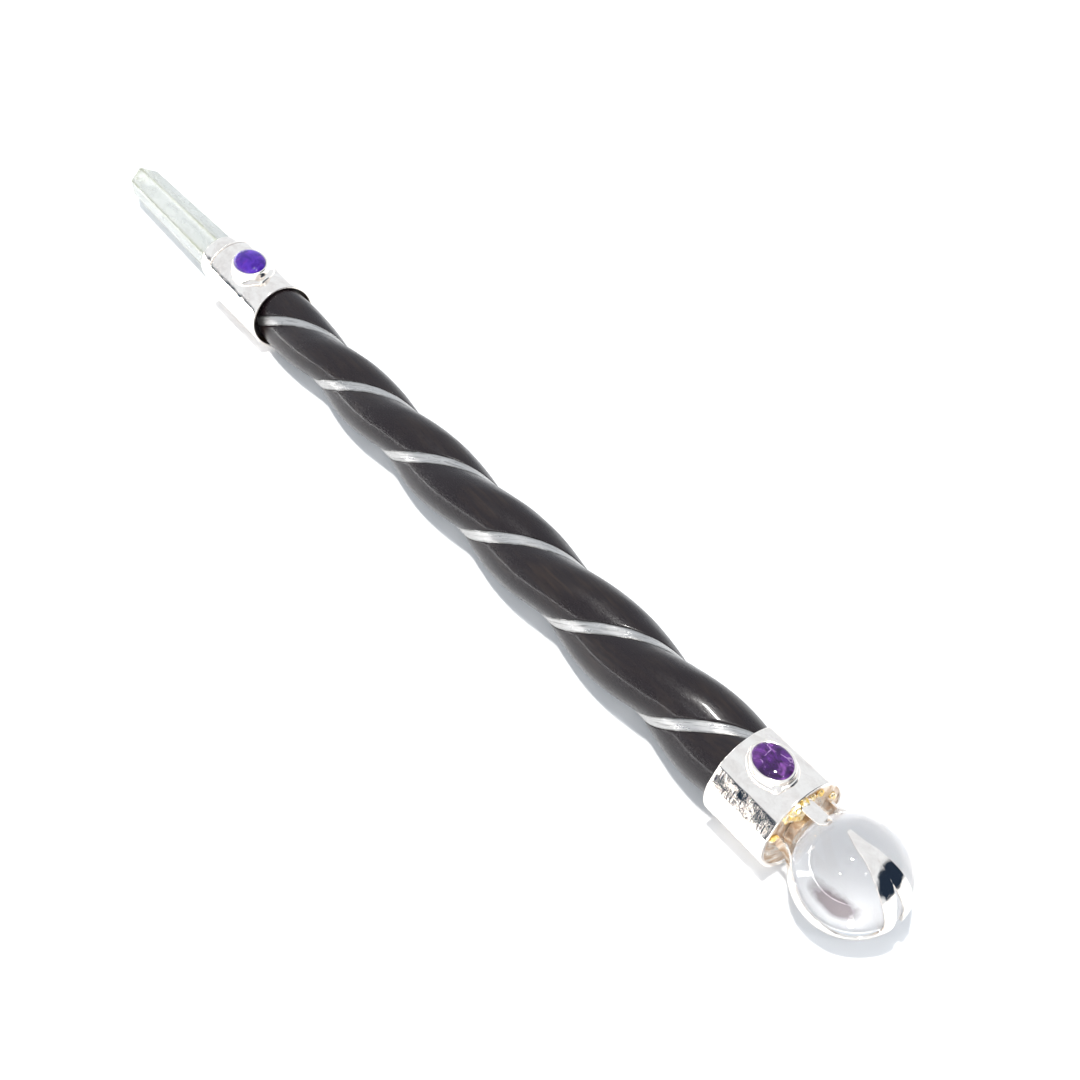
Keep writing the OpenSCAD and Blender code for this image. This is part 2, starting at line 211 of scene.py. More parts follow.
class WandColours(bpy.types.PropertyGroup):
    """Colours of the finishes."""
    ebony: FloatVectorProperty(
        name="Ebony", description="Colour of the wood",
        default=(0.0085, 0.0052, 0.0066), subtype="COLOR")
    ebony_light: FloatVectorProperty(
        name="Ebony grain", description="Colour of the lighter grain",
        default=(0.021, 0.013, 0.010), subtype="COLOR")
    silver: FloatVectorProperty(
        name="Silver", description="Colour of polished silver",
        default=(0.985, 0.925, 0.86), subtype="COLOR")
    strip: FloatVectorProperty(
        name="Strip", description="Colour of the inlaid strips",
        default=(0.50, 0.49, 0.48), subtype="COLOR")
    tarnish: FloatVectorProperty(
        name="Tarnish", description="Colour of the brown tarnish",
        default=(0.62, 0.42, 0.26), subtype="COLOR")
    solder: FloatVectorProperty(
        name="Solder", description="Colour of the solder",
        default=(0.90, 0.60, 0.16), subtype="COLOR")
    upper_violet: FloatVectorProperty(
        name="Upper stone", description="Colour of the upper stone",
        default=(0.040, 0.005, 0.24), subtype="COLOR")
    lower_violet: FloatVectorProperty(
        name="Lower stone", description="Colour of the lower stone",
        default=(0.15, 0.03, 0.30), subtype="COLOR")
    quartz: FloatVectorProperty(
        name="Quartz", description="Colour of the quartz",
        default=(0.78, 0.79, 0.76), subtype="COLOR")
    veil: FloatVectorProperty(
        name="Quartz veil", description="Colour of the quartz's tip and veils",
        default=(0.34, 0.34, 0.17), subtype="COLOR")


class WandStage(bpy.types.PropertyGroup):
    """Camera, floor and light."""
    lens: FloatProperty(
        name="Lens", description="Focal length on a 36 mm sensor, in millimetres",
        default=47.68)
    distance: FloatProperty(
        name="Distance", description="Camera's distance from its aim",
        default=280 * MM, unit="LENGTH")
    azimuth: FloatProperty(
        name="Azimuth", description="Camera's direction round the wand",
        default=math.radians(-34.62), subtype="ANGLE")
    elevation: FloatProperty(
        name="Elevation", description="Camera's height angle",
        default=math.radians(47.28), subtype="ANGLE")
    roll: FloatProperty(
        name="Roll", description="Camera's roll",
        default=math.radians(-2.953), subtype="ANGLE")
    aim: FloatVectorProperty(
        name="Aim", description="Point that the camera looks at, in the wand's frame",
        default=(98.0 * MM, 2.41 * MM, 4.04 * MM), subtype="TRANSLATION", precision=5)
    key_power: FloatProperty(
        name="Key light", description="Power of the overhead light",
        default=12.0, unit="POWER")
    lamp_power: FloatProperty(
        name="Front lamps", description="Power of each small front lamp",
        default=0.35, unit="POWER")
    sky: FloatVectorProperty(
        name="Surround", description="Colour of the white surround",
        default=(0.87, 0.93, 1.0), subtype="COLOR")
    floor: FloatVectorProperty(
        name="Floor", description="Colour of the floor",
        default=(0.92, 0.92, 0.92), subtype="COLOR")


# ---------------------------------------------------------------------------
# Finishes
# ---------------------------------------------------------------------------

class Nodes:
    """Short calls that add nodes to a tree, and link or set what goes into them."""

    def __init__(self, tree):
        self.tree = tree

    def feed(self, socket, value):
        """Links another node's output to a socket, or sets it to a number or a colour."""
        if isinstance(value, bpy.types.NodeSocket):
            self.tree.links.new(value, socket)
        elif hasattr(value, "__len__") and len(value) < len(socket.default_value):
            socket.default_value = (*value, 1.0)
        else:
            socket.default_value = value

    def put(self, node, **inputs):
        for key, value in inputs.items():
            self.feed(node.inputs[key.replace("_", " ")], value)
        return node

    def add(self, kind, **inputs):
        return self.put(self.tree.nodes.new("ShaderNode" + kind), **inputs)

    def noise(self, where, detail=4.0, roughness=0.55, distortion=0.0):
        node = self.add("TexNoise", Vector=where, Scale=1.0, Detail=detail, Roughness=roughness,
            Distortion=distortion)
        return node.outputs["Fac"]

    def cracks(self, where):
        node = self.add("TexVoronoi", Vector=where, Scale=1.0)
        node.feature = "DISTANCE_TO_EDGE"
        return node.outputs["Distance"]

    def limits(self, value, low, high, to_low=0.0, to_high=1.0, smooth=False):
        node = self.add("MapRange", Value=value, From_Min=low, From_Max=high, To_Min=to_low, To_Max=to_high)
        if smooth:
            node.interpolation_type = "SMOOTHSTEP"
        return node.outputs["Result"]

    def math(self, operation, a, b=0.0):
        node = self.add("Math")
        node.operation = operation
        self.feed(node.inputs[0], a)
        self.feed(node.inputs[1], b)
        return node.outputs["Value"]

    def blend(self, share, a, b):
        node = self.add("Mix")
        node.data_type = "RGBA"
        inputs = {socket.identifier: socket for socket in node.inputs}
        self.feed(inputs["Factor_Float"], share)
        self.feed(inputs["A_Color"], a)
        self.feed(inputs["B_Color"], b)
        return next(socket for socket in node.outputs if socket.identifier == "Result_Color")

    def relief(self, height, depth, strength=1.0, under=None):
        node = self.add("Bump", Height=height, Distance=depth, Strength=strength)
        if under is not None:
            self.put(node, Normal=under)
        return node.outputs["Normal"]

    def dot(self, vector, direction):
        node = self.add("VectorMath")
        node.operation = "DOT_PRODUCT"
        self.feed(node.inputs[0], vector)
        self.feed(node.inputs[1], direction)
        return node.outputs["Value"]

    def part(self, vector, axis):
        return self.add("SeparateXYZ", Vector=vector).outputs[axis]


class Finish(Nodes):
    """A material under construction."""

    def __init__(self, name):
        self.material = bpy.data.materials.new(name)
        self.material.use_nodes = True
        super().__init__(self.material.node_tree)

    def place(self, x=1.0, y=1.0, z=1.0):
        """Distance along, around and out from the axis, in metres, stretched by three factors."""
        run = self.add("Attribute")
        run.attribute_name = "run"
        return self.add("Mapping", Vector=run.outputs["Vector"], Scale=(x, y, z)).outputs["Vector"]

    def surface(self, **inputs):
        """Feeds the material's shader, and hands the finished material over."""
        self.put(self.tree.nodes["Principled BSDF"], **inputs)
        return self.material


def ebony_finish(colours):
    """Near-black oiled wood: fine grain along it, small pores and rubbed places."""
    f = Finish("ebony")
    grain = f.noise(f.place(70, 1300, 1300), detail=6, roughness=0.6)
    pores = f.noise(f.place(420, 3600, 3600), detail=2, roughness=0.7)
    patches = f.noise(f.place(75, 130, 130), detail=3)
    scratches = f.noise(f.place(800, 2600, 2600), detail=3, roughness=0.7, distortion=0.8)
    tone = f.math("MULTIPLY", f.limits(grain, 0.42, 0.68), f.limits(patches, 0.42, 0.66))
    return f.surface(
        Base_Color=f.blend(tone, colours.ebony, colours.ebony_light),
        Roughness=f.limits(f.math("ADD", patches, scratches), 0.75, 1.25, 0.20, 0.42),
        Normal=f.relief(pores, 0.05 * MM, 0.5, f.relief(scratches, 0.05 * MM, 0.5)),
        Specular_IOR_Level=0.22, Coat_Weight=0.20, Coat_Roughness=0.11)


def silver_finish(name, colours, scratch_depth=0.015, worn=0.10, wave=0.06):
    """Polished silver: fine scratches round the piece, soft waves from the hammer, faint tarnish."""
    f = Finish(name)
    scratches = f.noise(f.place(2600, 420, 420), detail=4, roughness=0.7, distortion=0.6)
    waves = f.noise(f.place(420, 420, 420), detail=2)
    film = f.noise(f.place(230, 300, 300), detail=6, roughness=0.65, distortion=0.3)
    warm = f.limits(film, 0.42, 0.72, 0.0, 0.75)
    return f.surface(
        Base_Color=f.blend(warm, colours.silver, (0.76, 0.68, 0.62)),
        Metallic=1.0,
        Roughness=f.limits(f.math("ADD", film, scratches), 0.7, 1.35, 0.5 * worn, 1.9 * worn),
        Normal=f.relief(scratches, scratch_depth * MM, 0.7, f.relief(waves, wave * MM, 0.7)))


def strip_finish(colours):
    """Dull grey strip with scratches along its run, and painted shade darkening its edges where they meet the
    wood, broken up by smears.
    """
    f = Finish("inlay")
    across = f.part(f.place(), "Y")
    lines = f.noise(f.place(150, 3000, 1), detail=5, roughness=0.7, distortion=0.25)
    smears = f.noise(f.place(300, 1100, 1), detail=5, roughness=0.65)
    # Painted shade: the strip is darkened near both edges, next to the wood, where the slot's shade falls.
    edge = f.limits(f.math("ABSOLUTE", across), 0.70 * MM, 1.10 * MM)
    edge_shade = f.math("MULTIPLY", f.limits(smears, 0.30, 0.52), edge)
    dark = f.math("MAXIMUM", edge_shade, f.limits(lines, 0.50, 0.68, 0.0, 0.75))
    return f.surface(
        Base_Color=f.blend(dark, colours.strip, (0.10, 0.095, 0.09)),
        Metallic=0.9,
        Roughness=f.limits(smears, 0.3, 0.7, 0.22, 0.42),
        Normal=f.relief(lines, 0.10 * MM, 0.8, f.relief(smears, 0.12 * MM, 0.6)))


def tarnish_finish(colours):
    """The end plate: silver browned by the torch, pitted, with clean patches."""
    f = Finish("tarnished_silver")
    clouds = f.noise(f.place(520, 520, 520), detail=6, roughness=0.6, distortion=0.8)
    spots = f.noise(f.place(1900, 1900, 1900), detail=4, roughness=0.7)
    brown = f.limits(clouds, 0.38, 0.62)
    colour = f.blend(brown, (0.95, 0.86, 0.76), colours.tarnish)
    return f.surface(
        Base_Color=f.blend(f.limits(spots, 0.62, 0.72), colour, (0.10, 0.06, 0.035)),
        Metallic=0.85,
        Roughness=f.limits(clouds, 0.3, 0.7, 0.22, 0.46),
        Normal=f.relief(spots, 0.10 * MM, 0.6, f.relief(clouds, 0.3 * MM, 0.7)))


def solder_finish(colours):
    """Gold-coloured solder, paler where it ran thin."""
    f = Finish("solder")
    clouds = f.noise(f.place(900, 900, 900), detail=5, roughness=0.6, distortion=0.5)
    return f.surface(
        Base_Color=f.blend(f.limits(clouds, 0.40, 0.66), colours.solder, (0.93, 0.88, 0.78)),
        Metallic=1.0,
        Roughness=f.limits(clouds, 0.3, 0.7, 0.12, 0.34),
        Normal=f.relief(clouds, 0.15 * MM, 0.5))


def upper_stone_finish(colours):
    """Strong violet stone, cloudy inside and polished outside."""
    f = Finish("upper_stone")
    clouds = f.noise(f.place(300, 300, 300), detail=5, distortion=0.9)
    bands = f.noise(f.place(700, 240, 240), detail=3, distortion=1.4)
    colour = f.blend(f.limits(clouds, 0.38, 0.66), colours.upper_violet, (0.11, 0.03, 0.50))
    return f.surface(
        Base_Color=f.blend(f.limits(bands, 0.56, 0.74, 0.0, 0.6), colour, (0.24, 0.03, 0.40)),
        Roughness=f.limits(clouds, 0.3, 0.7, 0.03, 0.08),
        Transmission_Weight=0.30, IOR=1.45, Specular_IOR_Level=0.35,
        Normal=f.relief(clouds, 0.05 * MM, 0.25))


def lower_stone_finish(colours):
    """Clearer violet stone with pale and magenta flaws inside."""
    f = Finish("lower_stone")
    clouds = f.noise(f.place(380, 380, 380), detail=5, roughness=0.6, distortion=1.1)
    glow = f.noise(f.place(260, 420, 420), detail=2, distortion=0.6)
    flaws = f.cracks(f.place(230, 330, 330))
    deep = f.blend(f.limits(clouds, 0.40, 0.66), (0.030, 0.007, 0.060), colours.lower_violet)
    deep = f.blend(f.limits(glow, 0.55, 0.72), deep, (0.48, 0.16, 0.68))
    bright = f.math("MULTIPLY", f.limits(flaws, 0.035, 0.0), f.limits(clouds, 0.47, 0.60))
    return f.surface(
        Base_Color=f.blend(bright, deep, (0.80, 0.55, 0.90)),
        Roughness=f.limits(clouds, 0.3, 0.7, 0.03, 0.08),
        Transmission_Weight=0.55, IOR=1.45, Specular_IOR_Level=0.40,
        Normal=f.relief(clouds, 0.08 * MM, 0.3))


def quartz_finish(colours):
    """Milky-clear crystal: growth lines across its faces, straw-coloured edges, and veils at the tip."""
    f = Finish("quartz")
    start = span("quartz_point")[0]
    run = f.place()
    growth = f.noise(f.place(2200, 90, 90), detail=3, roughness=0.6)
    veils = f.noise(f.place(190, 330, 330), detail=5, distortion=1.0)
    near_tip = f.limits(f.part(run, "X"), start + 8 * MM, start + 4 * MM)
    straw = f.math("MULTIPLY", near_tip, f.limits(veils, 0.42, 0.54))
    angle = f.math("DIVIDE", f.part(run, "Y"), f.part(run, "Z"))
    sixths = f.math("ADD", f.math("MULTIPLY", angle, 3 / math.pi), 0.5)
    from_edge = f.math("ABSOLUTE", f.math("SUBTRACT", f.math("FRACT", sixths), 0.5))
    edge = f.math("MULTIPLY", f.limits(from_edge, 0.16, 0.04), f.limits(veils, 0.36, 0.60, 0.2, 0.6))
    milk = f.limits(veils, 0.40, 0.70, 0.0, 0.5)
    colour = f.blend(milk, colours.quartz, (0.66, 0.685, 0.64))
    colour = f.blend(f.math("MAXIMUM", edge, straw), colour, colours.veil)
    return f.surface(
        Base_Color=colour,
        Roughness=f.limits(veils, 0.35, 0.75, 0.02, 0.16),
        Transmission_Weight=f.limits(veils, 0.35, 0.65, 0.75, 0.60), IOR=1.50,
        Normal=f.relief(growth, 0.02 * MM, 0.6))


def clear_ball_finish(radius):
    """Polished clear ball with hair scratches, and a painted shadow low on one side: a dark patch that stands
    for the shadowed floor and the brown end plate seen through the glass.
    """
    f = Finish("clear_glass")
    # Directions of the painted shadow: a dark patch in the glass that stands for the shadowed floor and plate
    # seen through the ball, not a cloud inside it.
    shadow_run, shadow_rise, shadow_side = (0.94, 0.28, -0.17), (0.02, 0.47, 0.88), (0.27, -0.85, 0.45)
    where = f.place()
    scratches = f.noise(f.place(1800, 1200, 1200), detail=3, roughness=0.7, distortion=2.0)
    long = f.math("DIVIDE", f.dot(where, shadow_run), 0.44 * radius)
    wide = f.math("DIVIDE", f.dot(where, shadow_rise), 0.24 * radius)
    spread = f.math("ADD", f.math("MULTIPLY", long, long), f.math("MULTIPLY", wide, wide))
    ragged = f.math("ADD", spread, f.limits(f.noise(f.place(320, 320, 320)), 0.3, 0.7, -0.3, 0.3))
    near_side = f.limits(f.dot(where, shadow_side), 0.3 * radius, 0.5 * radius)
    # Painted shadow: this mask darkens the glass towards a brownish black on one low side.
    painted_shadow = f.math("MULTIPLY", f.limits(ragged, 1.35, 0.45), near_side)
    return f.surface(
        Base_Color=f.blend(painted_shadow, (0.86, 0.86, 0.87), (0.13, 0.095, 0.105)),
        Roughness=f.limits(scratches, 0.62, 0.80, 0.0, 0.05),
        Transmission_Weight=1.0, IOR=1.50)


def cement_finish():
    """Gritty off-white setting cement."""
    f = Finish("cement")
    grit = f.noise(f.place(2400, 2400, 2400), detail=5)
    return f.surface(
        Base_Color=f.blend(grit, (0.70, 0.68, 0.63), (0.86, 0.85, 0.80)),
        Roughness=f.limits(grit, 0.3, 0.7, 0.6, 0.85),
        Normal=f.relief(grit, 0.05 * MM))


def glue_finish():
    """Dark brown glue."""
    f = Finish("glue")
    clouds = f.noise(f.place(800, 800, 800), detail=4)
    return f.surface(
        Base_Color=f.blend(clouds, (0.040, 0.024, 0.014), (0.085, 0.055, 0.03)),
        Roughness=f.limits(clouds, 0.3, 0.7, 0.25, 0.5),
        Normal=f.relief(clouds, 0.05 * MM))


# ---------------------------------------------------------------------------
# Mesh making, in the wand's frame
# ---------------------------------------------------------------------------

def angles(count):
    """Angles of equally spaced points on a full circle."""
    return [2 * math.pi * k / count for k in range(count)]


def skin(rings, wrap=False):
    """Vertices and faces of a skin through rings of equally many points, closed at its ends or wrapped."""
    count, size = len(rings), len(rings[0])
    verts = [p for ring in rings for p in ring]
    faces = []
    for i in range(count if wrap else count - 1):
        below, above = i * size, (i + 1) % count * size
        for j in range(size):
            k = (j + 1) % size
            faces.append((below + j, below + k, above + k, above + j))
    if not wrap:
        faces.append(tuple(reversed(range(size))))
        faces.append(tuple(range((count - 1) * size, count * size)))
    return verts, faces


def lathe(profile, sides=160, change=None):
    """Turns a closed outline of (x, radius) points round the axis; change() may move a point's radius."""
    rings = []
    for x, r in profile:
        ring = []
        for a in angles(sides):
            reach = change(x, r, a) if change else r
            ring.append((x, reach * math.cos(a), reach * math.sin(a)))
        rings.append(ring)
    return skin(rings, wrap=True)


def round_corners(x0, x1, r0, r1, fillet, along=24, steps=5):
    """Outline of a tube's wall with rounded rims, starting on its inner side."""
    def arc(x, r, start):
        turns = [math.radians(start + 90 * i / steps) for i in range(1, steps + 1)]
        return [(x + fillet * math.cos(a), r + fillet * math.sin(a)) for a in turns]

    straight = x1 - x0 - 2 * fillet
    inner_side = [(x0 + fillet + straight * i / along, r0) for i in range(along + 1)]
    outer_side = [(x1 - fillet - straight * i / along, r1) for i in range(1, along + 1)]
    far_rim = arc(x1 - fillet, r0 + fillet, -90) + [(x1, r1 - fillet)] + arc(x1 - fillet, r1 - fillet, 0)
    near_rim = arc(x0 + fillet, r1 - fillet, 90) + arc(x0 + fillet, r0 + fillet, 180)
    return inner_side + far_rim + outer_side + near_rim[:-1]


def hand_worked(x, r, a, depth, size=3.2 * MM, seed=0.0):
    """Small uneven waves that hand work leaves on a turned surface."""
    p = Vector((x, r * math.cos(a), r * math.sin(a))) / size + Vector((seed, 0, 0))
    return r + depth * noise.noise(p)


def run_of(p):
    """Distance along the wand, round it from the top, and out from its axis."""
    reach = math.hypot(p.y, p.z)
    return Vector((p.x, reach * math.atan2(p.y, p.z), reach))


def make_piece(name, shape, material, nodes, run=run_of, place=None, sharp=40, bevel=0.0,
        above_floor=False):
    """A finished piece that stands for CAD nodes, from a shape in the wand's frame or in place's frame."""
    verts, faces = shape
    mesh = bpy.data.meshes.new(name)
    mesh.from_pydata(verts, [], faces)
    if place is not None:
        mesh.transform(place)
    joined = bmesh.new()
    joined.from_mesh(mesh)
    bmesh.ops.remove_doubles(joined, verts=joined.verts, dist=WELD)
    bmesh.ops.recalc_face_normals(joined, faces=joined.faces)
    joined.to_mesh(mesh)
    joined.free()
    runs = mesh.attributes.new("run", "FLOAT_VECTOR", "POINT")
    for i, v in enumerate(mesh.vertices):
        runs.data[i].vector = run(v.co)
    mesh.transform(WAND)
    if above_floor:
        for v in mesh.vertices:
            v.co.z = max(v.co.z, 0.0)
    for polygon in mesh.polygons:
        polygon.use_smooth = True
    mesh.set_sharp_from_angle(angle=math.radians(sharp))
    mesh.materials.append(material)
    obj = bpy.data.objects.new(name, mesh)
    bpy.context.scene.collection.objects.link(obj)
    if bevel:
        rounding = obj.modifiers.new("edges", "BEVEL")
        rounding.width = bevel
        rounding.segments = 3
        rounding.limit_method = "ANGLE"
        rounding.angle_limit = math.radians(28)
        rounding.harden_normals = True
    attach(obj, BODY)
    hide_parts(*nodes)


def dress(node, material):
    """Gives a CAD node that stays its finish, with the run that the finish reads."""
    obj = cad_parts[node]
    runs = obj.data.attributes.new("run", "FLOAT_VECTOR", "POINT")
    for i, v in enumerate(obj.data.vertices):
        runs.data[i].vector = run_of(TO_WAND @ v.co)
    obj.data.materials.clear()
    obj.data.materials.append(material)


# ---------------------------------------------------------------------------
# The twist
# ---------------------------------------------------------------------------

def turned(x, p, angle):
    """A point of a section, turned round the wand and set at its station."""
    c, s = math.cos(angle), math.sin(angle)
    return (x, p[0] * c - p[1] * s, p[0] * s + p[1] * c)


class Twist:
    """Section of the carved shaft at any station along it, from the sizes in s."""

    def __init__(self, sizes, wood_len):
        self.s = sizes
        self.wood_len = wood_len

    def reach(self, x):
        share = min(1.0, max(0.0, x / self.wood_len))
        taper = self.s.reach_upper + (self.s.reach_lower - self.s.reach_upper) * share
        return taper + self.s.swell * math.exp(-max(0.0, x) / self.s.swell_len)

    def angle(self, x):
        late = max(0.0, x - self.wood_len + self.s.late_len) / self.s.late_len
        turns = (x - self.s.lobe_x) / self.s.turn_len
        return self.s.lobe_angle - 2 * math.pi * turns - self.s.late_turn * late * late

    def lobe(self, x):
        """Distance of a lobe's middle from the axis, and its own radius."""
        reach = self.reach(x)
        return reach * (1 - self.s.roundness), reach * self.s.roundness

    def height(self, x, u):
        """Height of the lobes above the strip's bed, at a distance u from the strip's middle."""
        middle, radius = self.lobe(x)
        return math.sqrt(radius ** 2 - (middle - u) ** 2)

    def strip_half(self, x):
        """Half the strip's width in the section: it leans across the wand."""
        lean = math.atan(2 * math.pi * self.height(x, 0.0) / self.s.turn_len)
        return self.s.strip_w / 2 / math.cos(lean)


# ---------------------------------------------------------------------------
# Operators, one for each piece or group of like pieces
# ---------------------------------------------------------------------------

class WAND_OT_shaft(bpy.types.Operator):
    """Carve the dark wood shaft"""
    bl_idname = "wand.shaft"
    bl_label = "Shaft"

    lobe_steps = 44
    ring_gap = 0.5 * MM
    strip_gap = 0.05 * MM
    edge_round = 0.10 * MM
    waver = 0.05 * MM
    waver_len = 9 * MM

    def section(self, twist, x):
        """Two lobes parted by the strips' slots, whose edges are a little worn."""
        middle, radius = twist.lobe(x)
        half = twist.strip_half(x)
        h = half + self.strip_gap + self.edge_round
        v = twist.height(x, h)
        bed = twist.height(x, half) - twist.s.strip_t - self.strip_gap
        end = math.atan2(v, h - middle)
        lobe = []
        for k in range(self.lobe_steps + 1):
            a = end * (2 * k / self.lobe_steps - 1)
            r = radius + self.waver * noise.noise(Vector((x / self.waver_len, a * 1.6, 0)))
            lobe.append((middle + r * math.cos(a), r * math.sin(a)))
        wall = h - self.edge_round
        step = [(wall, v - self.edge_round), (wall, bed), (-wall, bed), (-wall, v - self.edge_round)]
        side = lobe + step
        return side + [(-p[0], -p[1]) for p in side]

    def execute(self, context):
        scene = context.scene
        twist = Twist(scene.wand_twist, span("lower_sleeve")[0])
        start, end, _ = span("inlay_strip_a")
        upper_end, lower_end, _ = span("twist_shaft")
        count = round((end - start) / self.ring_gap)
        sections = [start + (end - start) * i / count for i in range(count + 1)]
        rings = [[turned(x, p, twist.angle(x)) for p in self.section(twist, x)] for x in sections]
        size = len(rings[0])
        tenons = []
        for x, at, r in ((upper_end, start, bore("upper_glue")), (lower_end, end, bore("lower_glue"))):
            tenons.append([turned(x, (r, 0), twist.angle(at) + 2 * math.pi * (k - self.lobe_steps / 2) / size)
                for k in range(size)])
            tenons.append([(at, y, z) for _, y, z in tenons[-1]])
        shape = skin([tenons[0], tenons[1], *rings, tenons[3], tenons[2]])
        make_piece("shaft", shape, ebony_finish(scene.wand_colours), ["twist_shaft"], sharp=50)
        return {"FINISHED"}


class WAND_OT_strips(bpy.types.Operator):
    """Inlay the two grey strips in the slots between the lobes"""
    bl_idname = "wand.strips"
    bl_label = "Strips"

    ring_gap = 0.5 * MM
    across = 10
    waver = 0.05 * MM
    waver_len = 2.2 * MM
    lump = 0.03 * MM
    lump_len = 1.7 * MM
    edge_drop = 0.05 * MM

    def ring(self, twist, x, side, seed):
        """Bed, walls and a low crowned top whose edges wander a little."""
        half = twist.strip_half(x)
        h = half + self.waver * noise.noise(Vector((x / self.waver_len, seed, 0)))
        top = twist.height(x, half)
        points = [(top - twist.s.strip_t, -h)]
        for i in range(self.across + 1):
            t = 2 * i / self.across - 1
            lump = self.lump * noise.noise(Vector((x / self.lump_len, t * 1.3, seed)))
            drop = self.edge_drop if abs(t) == 1 else 0.0
            points.append((top + twist.s.crown * (1 - t * t) + lump - drop, t * h))
        points.append((top - twist.s.strip_t, h))
        return [turned(x, p, twist.angle(x) + side) for p in points]

    def execute(self, context):
        scene = context.scene
        twist = Twist(scene.wand_twist, span("lower_sleeve")[0])
        finish = strip_finish(scene.wand_colours)
        for letter, side in (("a", math.pi / 2), ("b", -math.pi / 2)):
            node = "inlay_strip_" + letter
            start, end, _ = span(node)
            count = round((end - start) / self.ring_gap)
            stations = [start + (end - start) * i / count for i in range(count + 1)]
            rings = [self.ring(twist, x, side, 5 + side) for x in stations]

            def run(p):
                a = math.atan2(p.z, p.y) - twist.angle(p.x) - side
                a = math.atan2(math.sin(a), math.cos(a))
                reach = math.hypot(p.y, p.z)
                lean = math.cos(math.atan(2 * math.pi * reach / twist.s.turn_len))
                return Vector((p.x / max(lean, 0.1), reach * a * lean, 0.0))

            make_piece("strip_" + letter, skin(rings), finish, [node], run=run, sharp=60)
        return {"FINISHED"}


class WAND_OT_upper_fitting(bpy.types.Operator):
    """Form the upper sleeve with its shoulder, and the collar round the quartz"""
    bl_idname = "wand.upper_fitting"
    bl_label = "Upper fitting"

    soft_steps = 8

    def execute(self, context):
        scene = context.scene
        fillet = scene.wand_settings.rim_round
        silver = silver_finish("silver_upper", scene.wand_colours)
        start, end, reach = span("upper_sleeve")

        def sleeve(x, r, a):
            return hand_worked(x, r, a, 0.05 * MM, seed=3.0) if r > reach - 2 * fillet else r

        outline = round_corners(start, end, bore("upper_sleeve"), reach, fillet)
        make_piece("sleeve_upper", lathe(outline, change=sleeve), silver, ["upper_sleeve"],
            above_floor=True)
        disc_start, disc_end, disc_reach = span("upper_shoulder")
        disc = [(disc_end, bore("upper_shoulder")), (disc_end, disc_reach)]
        soft = 0.75 * (disc_end - disc_start)
        for i in range(self.soft_steps + 1):
            a = math.pi / 2 * i / self.soft_steps
            disc.append((disc_start + soft * (1 - math.sin(a)), disc_reach - soft * (1 - math.cos(a))))
        disc.append((disc_start, bore("upper_shoulder")))
        make_piece("shoulder", lathe(disc), silver, ["upper_shoulder"], above_floor=True)
        start, end, reach = span("upper_collar")

        def collar(x, r, a):
            return hand_worked(x, r, a, 0.10 * MM, size=2.4 * MM, seed=9.0) if r > reach - fillet else r

        outline = round_corners(start, end, bore("upper_collar"), reach, fillet)
        make_piece("collar", lathe(outline, change=collar), silver, ["upper_collar"])
        return {"FINISHED"}


class WAND_OT_lower_fitting(bpy.types.Operator):
    """Form the lower sleeve and the browned plate that closes it"""
    bl_idname = "wand.lower_fitting"
    bl_label = "Lower fitting"

    sleeve_sides = 320
    plate_sides = 96
    plate_steps = 26
    flat_soft = 0.03 * MM
    dimple = 2.4 * MM
    pucker = 0.16 * MM
    pucker_size = 2.1 * MM

    def execute(self, context):
        scene = context.scene
        sizes = scene.wand_settings
        silver = silver_finish("silver_lower", scene.wand_colours, scratch_depth=0.022, worn=0.08,
            wave=0.015)
        start, end, reach = span("lower_sleeve")

        def sleeve(x, r, a):
            if r < reach - 2 * sizes.rim_round:
                return r
            off = math.remainder(a - sizes.flat_angle, 2 * math.pi)
            cut = r - r * math.cos(sizes.flat_width) / max(0.5, math.cos(off))
            r -= (cut + math.hypot(cut, self.flat_soft)) / 2
            rough = 0.005 + 0.014 * math.exp(-((off / sizes.flat_width + 0.8) / 0.7) ** 2)
            return r + rough * MM * noise.noise(Vector((x / self.dimple, 4.2 * a, 7.0)))

        outline = round_corners(start, end, bore("lower_sleeve"), reach, sizes.rim_round)
        shape = lathe(outline, sides=self.sleeve_sides, change=sleeve)
        make_piece("sleeve_lower", shape, silver, ["lower_sleeve"])
        back, face, plate_reach = span("end_plate")
        inner = [(face, 1 - i / self.plate_steps, self.pucker) for i in range(1, self.plate_steps)]
        rings = []
        for x, scale, rough in [(back, 1.0, 0.0), (face, 1.0, 0.0), *inner]:
            ring = []
            for a in angles(self.plate_sides):
                y, z = plate_reach * scale * math.cos(a), plate_reach * scale * math.sin(a)
                ring.append((x + rough * (noise.noise(Vector((y, z, 0)) / self.pucker_size) - 0.4), y, z))
            rings.append(ring)
        make_piece("plate_end", skin(rings), tarnish_finish(scene.wand_colours), ["end_plate"],
            sharp=60)
        return {"FINISHED"}


